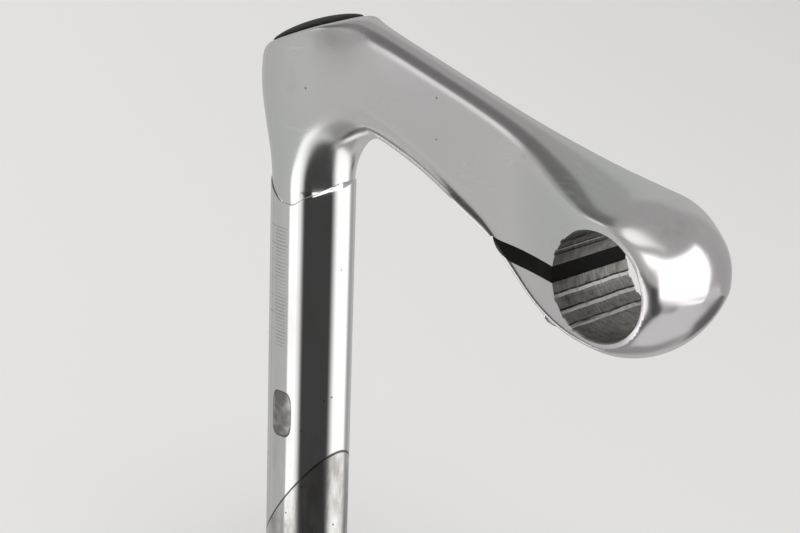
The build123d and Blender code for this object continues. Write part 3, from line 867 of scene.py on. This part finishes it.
# %% Slot filler
filler_half = slot_gap / 2 - 0.05
inner_end = bore_radius - 4
kept = [on_slot(*corner) for corner in ((inner_end, -filler_half), (inner_end, filler_half),
                                        (mouth, filler_half), (mouth, -filler_half))]
carve(filler, prism("keep", kept, 30, rubber), "INTERSECT")
clear, clear_radius = np.linspace(0, 2 * np.pi, 160, endpoint=False), bore_radius + 0.3
bore_outline = np.column_stack([bore_x + clear_radius * np.cos(clear),
                                bore_z + clear_radius * np.sin(clear)])
carve(filler, prism("clear", bore_outline, 30, rubber))
carve(filler, lathe("hole", [(2.8, -9), (2.8, 9)], rubber, pinch_axis, 48))
filler.data.materials.clear()
filler.data.materials.append(rubber)
filler.data.polygons.foreach_set("material_index", np.zeros(len(filler.data.polygons), np.int32))
smooth_shade(filler)
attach(filler, "stem")
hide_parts("slot_insert")
print("filler:", len(filler.data.polygons), "faces")

# %% [markdown]
# The head ends in an oval hole under a push-in cap of black plastic. The cap is a shallow dome
# with a rounded edge on a short spigot. A scaled sphere would be too round in the middle and
# too steep at the rim, so the dome's height is a power of the distance to the rim, worked out
# on a grid of rings and spokes.

# %% Top cap
low, high = (np.array(corner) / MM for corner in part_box("top_cap"))
cap_half_length, cap_half_width, cap_middle = 13.57, 9.95, (low[0] + high[0]) / 2
tilt = np.arctan(seat_slope)


def cap_surface():
    """Rows from the middle of the underside out to the rim and back over the dome:
    height = rim + (dome - rim)(1 - s^2)^0.7, where s is the share of the way out to an oval
    rim of half length a and half width b."""
    out = np.sin(np.linspace(0.02, np.pi / 2, 26))
    share = np.concatenate([out[::5], [1.0], [1.004, 1.0], out[::-1]])
    rim_height, dome_height = 0.35, 2.55
    dome = (1 - np.clip(out[::-1], 0, 1) ** 2) ** 0.7
    dome = rim_height + (dome_height - rim_height) * dome
    rise = np.concatenate([np.full(len(out[::5]), -0.35), [-0.35], [0.0, 0.3], dome])
    a = np.linspace(0, 2 * np.pi, 120, endpoint=False)
    u, v = cap_half_length * share[:, None] * np.cos(a), cap_half_width * share[:, None] * np.sin(a)
    w = rise[:, None] + 0 * a
    x = cap_middle + u * np.cos(tilt) - w * np.sin(tilt)
    z = seat_height + seat_slope * cap_middle + u * np.sin(tilt) + w * np.cos(tilt)
    return np.stack([x, v, z], -1)


def spigot_surface():
    """A tube that starts level, 7.2 under the seat's middle, and ends in the seat's slope."""
    a = np.linspace(0, 2 * np.pi, 96, endpoint=False)
    rows = []
    for radius, top in ((8.4, 0), (8.4, 1), (7.1, 1), (7.1, 0)):
        x, y = radius * np.cos(a), radius * np.sin(a)
        z = np.where(top, seat_height + seat_slope * x - 0.1, seat_height - 7.2 + 0 * x)
        rows.append(np.stack([x, y, z], -1))
    return np.array(rows)


cap = grid_piece("oval_cap", cap_surface(), black)
spigot = grid_piece("cap_spigot", spigot_surface(), black, close_rows=True)
for piece in (cap, spigot):
    smooth_shade(piece, 40)
    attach(piece, "cap")
    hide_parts("top_cap")
print("cap box", np.round(low, 1), np.round(high, 1))

# %% [markdown]
# Two socket screws close the stem: a long one down the quill and a short one under the clamp.
# A screw could be a cylinder with a six-sided hole cut out of it, but one grid gives it all. Its
# rows go from the bottom of the socket up, over the head and down the shank. A row's radius is
# a hexagon's in the socket, constant on the head and the shank, and a small wave that climbs
# as it turns along the thread. Washers and bush are grids too, whose rows close into a ring.

# %% Bolts
def bolt_surface(head_radius, head_height, shank_radius, length, socket, pitch, thread_length):
    """Rows down a socket bolt, seat at height 0: the radius is constant, a hexagon's
    (f/2)/cos(a mod 60 - 30) in the socket, or dips by a triangle wave of the height and
    the turn along the thread."""
    columns = 72
    a = np.linspace(0, 2 * np.pi, columns, endpoint=False)
    hexagon = (socket / 2) / np.cos(np.mod(a, np.pi / 3) - np.pi / 6)
    depth = head_height * 0.55
    plain = lambda radius, level: (np.full(columns, radius), np.full(columns, level))
    rows = [plain(0.02, head_height - depth - 0.6), plain(socket * 0.42, head_height - depth),
            (hexagon, np.full(columns, head_height - depth)),
            (hexagon, np.full(columns, head_height - 0.25)),
            (hexagon + 0.25, np.full(columns, head_height)), plain(head_radius - 0.7, head_height),
            plain(head_radius - 0.3, head_height - 0.12),
            plain(head_radius - 0.08, head_height - 0.4), plain(head_radius, head_height - 0.8),
            plain(head_radius, 0.25), plain(head_radius - 0.25, 0.0),
            plain(shank_radius + 0.3, 0.0), plain(shank_radius, -0.3),
            plain(shank_radius, thread_length - length)]
    for level in np.arange(thread_length - length, 0.9 - length, -pitch / 8):
        wave = np.abs(2 * np.mod(level / pitch - a / (2 * np.pi), 1) - 1)
        fade = min(1.0, (thread_length - length - level) / pitch)
        rows.append((shank_radius - 0.61 * pitch * wave * fade, np.full(columns, level)))
    root = shank_radius - 0.62 * pitch
    rows += [plain(root, 0.7 - length), plain(root - 0.5, -length), plain(0.02, -length)]
    radius, level = (np.array([row[i] for row in rows]) for i in (0, 1))
    return np.stack([radius * np.cos(a), radius * np.sin(a), level], -1)


def stand(points, origin, across, up):
    """Points given along across, the third axis and up, moved to their place."""
    return np.array(origin, float) + points @ np.stack([across, np.cross(up, across), up])


def add_part(name, points, body_name, node, material, close_rows=False):
    """A finished piece: meshed, shaded, riding on its body in place of its CAD node."""
    piece = grid_piece(name, points, material, close_rows)
    smooth_shade(piece)
    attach(piece, body_name)
    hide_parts(node)
    return piece


def washer_rows(inner, outer, low, high, edge=0.15):
    """A ring's cross-section with small bevels, turned round Z."""
    profile = [(inner, low + edge), (inner + edge, low),
               (outer - edge, low), (outer, low + edge),
               (outer, high - edge), (outer - edge, high),
               (inner + edge, high), (inner, high - edge)]
    a = np.linspace(0, 2 * np.pi, 96, endpoint=False)
    radius, level = np.array(profile).T[:, :, None]
    return np.stack([radius * np.cos(a), radius * np.sin(a), level + 0 * a], -1)


big_screw = bolt_surface(6.5, 8.0, 4.0, 140.05, 6.0, 1.25, 34.0)
small_screw = bolt_surface(4.25, 5.0, 2.5, 25.0, 4.0, 0.8, 14.0)
steel_parts = [
    ("expander_screw", stand(big_screw, (0, 0, 65.65), (1, 0, 0), (0, 0, 1)),
     "expander", "expander_bolt", False),
    ("expander_ring", washer_rows(4.3, 8.0, 64.0, 65.6), "stem", "expander_washer", True),
    ("pinch_screw_m5", stand(small_screw, pinch_origin - slot_up * 11.0, slot_back, -slot_up),
     "pinch_screw", "pinch_bolt", False),
    ("pinch_ring", stand(washer_rows(2.8, 4.5, -10.95, -9.95, 0.1), *pinch_axis),
     "pinch_carrier", "pinch_washer", True),
    ("threaded_bush", stand(washer_rows(2.55, 3.5, 2.5, 14.5, 0.2), *pinch_axis),
     "stem", "thread_insert", True),
]
for name, points, body_name, node, ring_shaped in steel_parts:
    part = add_part(name, points, body_name, node, steel, ring_shaped)
    print(name, len(part.data.polygons), "faces")

# %% [markdown]
# The wedge closes the quill's slanted end. When its bolt is tightened it slides along the
# slant and jams the quill in the fork's steerer. A cylinder cut at a slant would make it, but
# so do five rings of points that close on themselves. Between them lie the chamfer, the
# outside wall, the slanted face, an oblong hole and the foot. The hole is oblong to leave the
# bolt room while the wedge rides forward.

# %% Expander wedge
def wedge_rows():
    """Round each angle, four corners of the wedge's wall: outside from the chamfered foot up
    to the slanted seam, then back down inside the oblong hole, a circle of the bolt's
    clearance whose two halves stand apart by the wedge's forward travel."""
    a = np.linspace(0, 2 * np.pi, 144, endpoint=False)
    hole_radius, apart = 4.3, 1.133
    x_in = hole_radius * np.cos(a) + np.where(np.cos(a) > 0, 0, -apart)
    y_in = hole_radius * np.sin(a)
    seam = lambda x: seam_height - 0.09 + seam_slope * x
    out = lambda radius: (radius * np.cos(a), radius * np.sin(a))
    rows = []
    corners = [(out(quill_radius - 1.2), foot_height), (out(quill_radius), foot_height + 1.2),
               (out(quill_radius), None), ((x_in, y_in), None), ((x_in, y_in), foot_height)]
    for (x, y), z in corners:
        rows.append(np.stack([x, y, seam(x) if z is None else np.full_like(x, z)], -1))
    return np.array(rows)


wedge = add_part("slanted_wedge", wedge_rows(), "wedge", "expander_wedge",
                 worn, True)
print("wedge faces", len(wedge.data.polygons))

# %% [markdown]
# Polished metal has hardly a colour of its own: it shows the room. So the studio matters more
# than any lamp. Round the stem stands a big tent, a globe so wide that what a reflection shows
# depends on little but its direction. The world's own colour could do that as well, but on a
# mesh numpy can write a brightness for each point. It comes from a table of soft-edged sheets:
# a broad window, strips of light, and dark cloths between them. The tent is out of the
# camera's sight, and it is part of the stage and not of the object.

# %% Cards that glow
def plateau(value, start, end, soft):
    """1 from start to end, with soft edges outside them."""
    return smooth_step(value, start - soft, start) * (1 - smooth_step(value, end, end + soft))


def glowing_card(name, points, glow, faces=None):
    """A stage sheet with its own brightness at each point. The camera doesn't see it."""
    rows, columns = points.shape[:2]
    corners = grid_quads(rows, columns).tolist() if faces is None else faces
    mesh = bpy.data.meshes.new(name)
    mesh.from_pydata((points.reshape(-1, 3) * MM).tolist(), [], corners)
    brightness = mesh.attributes.new("glow", "FLOAT", "POINT")
    brightness.data.foreach_set("value", glow.astype(np.float32).ravel())
    material = bpy.data.materials.new(name)
    material.use_nodes = True
    tree = material.node_tree
    tree.nodes.clear()
    level = Tone(tree, tree.nodes.new("ShaderNodeAttribute").outputs["Fac"])
    level.socket.node.attribute_name = "glow"
    light = level.node("ShaderNodeEmission", None,
                       {"Color": (1.0, 0.995, 0.985, 1), "Strength": level})
    level.node("ShaderNodeOutputMaterial", None, {"Surface": light})
    material.cycles.emission_sampling = "NONE"
    mesh.materials.append(material)
    mesh.shade_smooth()
    card = bpy.data.objects.new(name, mesh)
    bpy.context.scene.collection.objects.link(card)
    card.visible_camera = card.visible_shadow = False
    return card


# brightness, left and right edge (degrees round from ahead), bottom and top edge (degrees
# up), and how wide the edges are
sheets = [
    (0.33, -180, 180, 44, 90, 9),        # ceiling
    (0.26, -180, 180, -90, -60, 10),     # ground
    (0.56, -50, 70, -90, -52, 8),        # lighter ground ahead
    (0.10, 66, 96, -44, -30, 5),         # dark patch low on the left
    (0.13, -180, -122, 53, 76, 4),       # dark cloth high up behind
    (0.15, 158, 180, 59, 76, 4),         # its other end, past straight behind
    (0.03, -79, -48, -40, -5, 4),        # dark cloth beside the window
    (0.05, -70, -44, -52, -24, 7),       # its lower corner
    (0.55, -2, 60, -50, -20, 7),         # light board below the window
    (1.50, -45, 38, -17, 38, 6),         # window
    (1.15, -109, -84, -52, -13, 4),      # low strip on the right
    (0.95, -132, -119, 37, 48, 3),       # high strip behind on the right
    (1.00, -76, -28, 56, 82, 5),         # skylight, high up ahead on the right
]


def tent_glow(az, el):
    """Brightness of the tent by direction in degrees: a dim base, a little lighter behind,
    then each sheet in turn laid over what is there."""
    glow = 0.345 + 0.10 * plateau(np.abs(az), 106, 172, 12)
    glow = glow + 0.02 * np.sin(np.radians(5 * az + 2 * el)) + 0 * el
    for level, left, right, bottom, top, soft in sheets:
        glow = glow + (level - glow) * plateau(az, left, right, soft) * plateau(
            el, bottom, top, soft)
    return glow


tent_middle, tent_radius = np.array([35.0, 0.0, 20.0]), 2600
az = np.radians(np.linspace(-180, 180, 181)[:-1])[None, :]
el = np.radians(np.linspace(-89.5, 89.5, 120))[:, None]
direction = np.stack(np.broadcast_arrays(
    np.cos(el) * np.cos(az), np.cos(el) * np.sin(az), np.sin(el)), -1)
glow = tent_glow(np.degrees(az), np.degrees(el))
glowing_card("tent", tent_middle + tent_radius * direction, glow)
print("tent glow", glow.min().round(2), "to", glow.max().round(2), "mean", glow.mean().round(2))

# %% [markdown]
# The quill is a mirror, and down its middle runs a broad dark band between two white ones. The
# tent is too far away for that: it would show the neck the same band. So a card stands close
# to the quill and curves round it, almost black in the middle and bright on both sides.

# %% The curved card beside the quill
card_radius, card_columns, card_rows = 32, 61, 8
card_az = np.linspace(-78, 66, card_columns)[None, :]
card_z = np.linspace(-100, 36, card_rows)[:, None]
card_points = np.stack(np.broadcast_arrays(
    card_radius * np.cos(np.radians(card_az)), card_radius * np.sin(np.radians(card_az)),
    card_z), -1)
card_glow = 0.05 + 1.1 * smooth_step(card_az, -4, 18) - 0.75 * smooth_step(card_az, 50, 64)
card_glow = card_glow + 0 * card_z + 0.9 * (1 - smooth_step(card_az, -76, -62))
first = (card_columns * np.arange(card_rows - 1)[:, None] + np.arange(card_columns - 1)).ravel()
card_quads = np.stack([first, first + 1, first + card_columns + 1, first + card_columns], 1)
quill_card = glowing_card("quill_card", card_points, card_glow, card_quads.tolist())
quill_card.visible_diffuse = False
print("card glow", card_glow.min().round(2), "to", card_glow.max().round(2))

# %% [markdown]
# The floor and the sky behind it are pale, the sky plain. Part of the floor's paleness is its
# own glow, for the camera alone, and that glow is a painted gradient of light, brighter towards
# the far left. The rest is the light that falls on it, so that it keeps the stem's shadow. The
# metal doesn't see the floor: it shows the tent's lower half. One broad soft lamp hangs high
# ahead of the stem, on its right. Hung lower, it would light the floor beneath it far more
# than the floor under the stem, and whiten what is seen from behind.

# %% Floor, sky and lamp
def seen_directly(tree):
    """1 for camera, glossy and transmission rays, 0 for the rest."""
    path = tree.nodes.new("ShaderNodeLightPath")
    camera_ray, glossy, transmitted = (Tone(tree, path.outputs[name]) for name in (
        "Is Camera Ray", "Is Glossy Ray", "Is Transmission Ray"))
    return glossy.math("MAXIMUM", glossy.math("MAXIMUM", camera_ray, glossy), transmitted)


pale = bpy.data.materials.new("pale_floor")
pale.use_nodes = True
tree = pale.node_tree
shader = tree.nodes["Principled BSDF"]
shader.inputs["Base Color"].default_value = (0.62, 0.616, 0.61, 1)
shader.inputs["Roughness"].default_value = 1.0
shader.inputs["Specular IOR Level"].default_value = 0.0
own = seen_directly(tree)
shader.inputs["Emission Color"].default_value = (1.0, 0.994, 0.986, 1)
spot = Tone(tree, tree.nodes.new("ShaderNodeTexCoord").outputs["Object"])
spot_x, spot_y = (spot.node("ShaderNodeSeparateXYZ", None, {0: spot}, axis) for axis in (0, 1))
# A painted gradient of light: the floor's own glow grows brighter towards the far left.
far_left = (spot_x * -0.21 + spot_y * -0.13).between(-0.2, 0.2, -0.12, 0.12)
tree.links.new((own * (far_left + 0.32)).socket, shader.inputs["Emission Strength"])
half_floor, floor_height = 2500, foot_height - 0.2
floor_corners = [(x * half_floor, y * half_floor, floor_height)
                 for x, y in ((-1, -1), (1, -1), (1, 1), (-1, 1))]
floor = make_piece("floor", floor_corners, [[0, 1, 2, 3]], pale)
floor.visible_glossy = False

world = bpy.data.worlds.new("studio")
bpy.context.scene.world = world
world.use_nodes = True
tree = world.node_tree
background = tree.nodes["Background"]
background.inputs["Color"].default_value = (1.0, 0.994, 0.986, 1)
tree.links.new((seen_directly(tree) * 0.37 + 0.4).socket, background.inputs["Strength"])

lamp_data = bpy.data.lights.new("window_lamp", "AREA")
lamp_data.shape, lamp_data.size, lamp_data.size_y = "RECTANGLE", 1.44, 1.12
lamp_data.energy = 15.0
lamp = bpy.data.objects.new("window_lamp", lamp_data)
lamp_place = np.array([0.9, -0.45, 2.0])
back = lamp_place / np.linalg.norm(lamp_place)
across = np.cross((0, 0, 1), back)
across = across / np.linalg.norm(across)
lamp.matrix_world = Matrix.Translation(lamp_place.tolist()) @ Matrix(
    np.stack([across, np.cross(back, across), back], 1).tolist()).to_4x4()
lamp.visible_camera = lamp.visible_glossy = False
bpy.context.scene.collection.objects.link(lamp)
bpy.context.scene.view_settings.view_transform = "Standard"
print("lamp at", lamp_place)
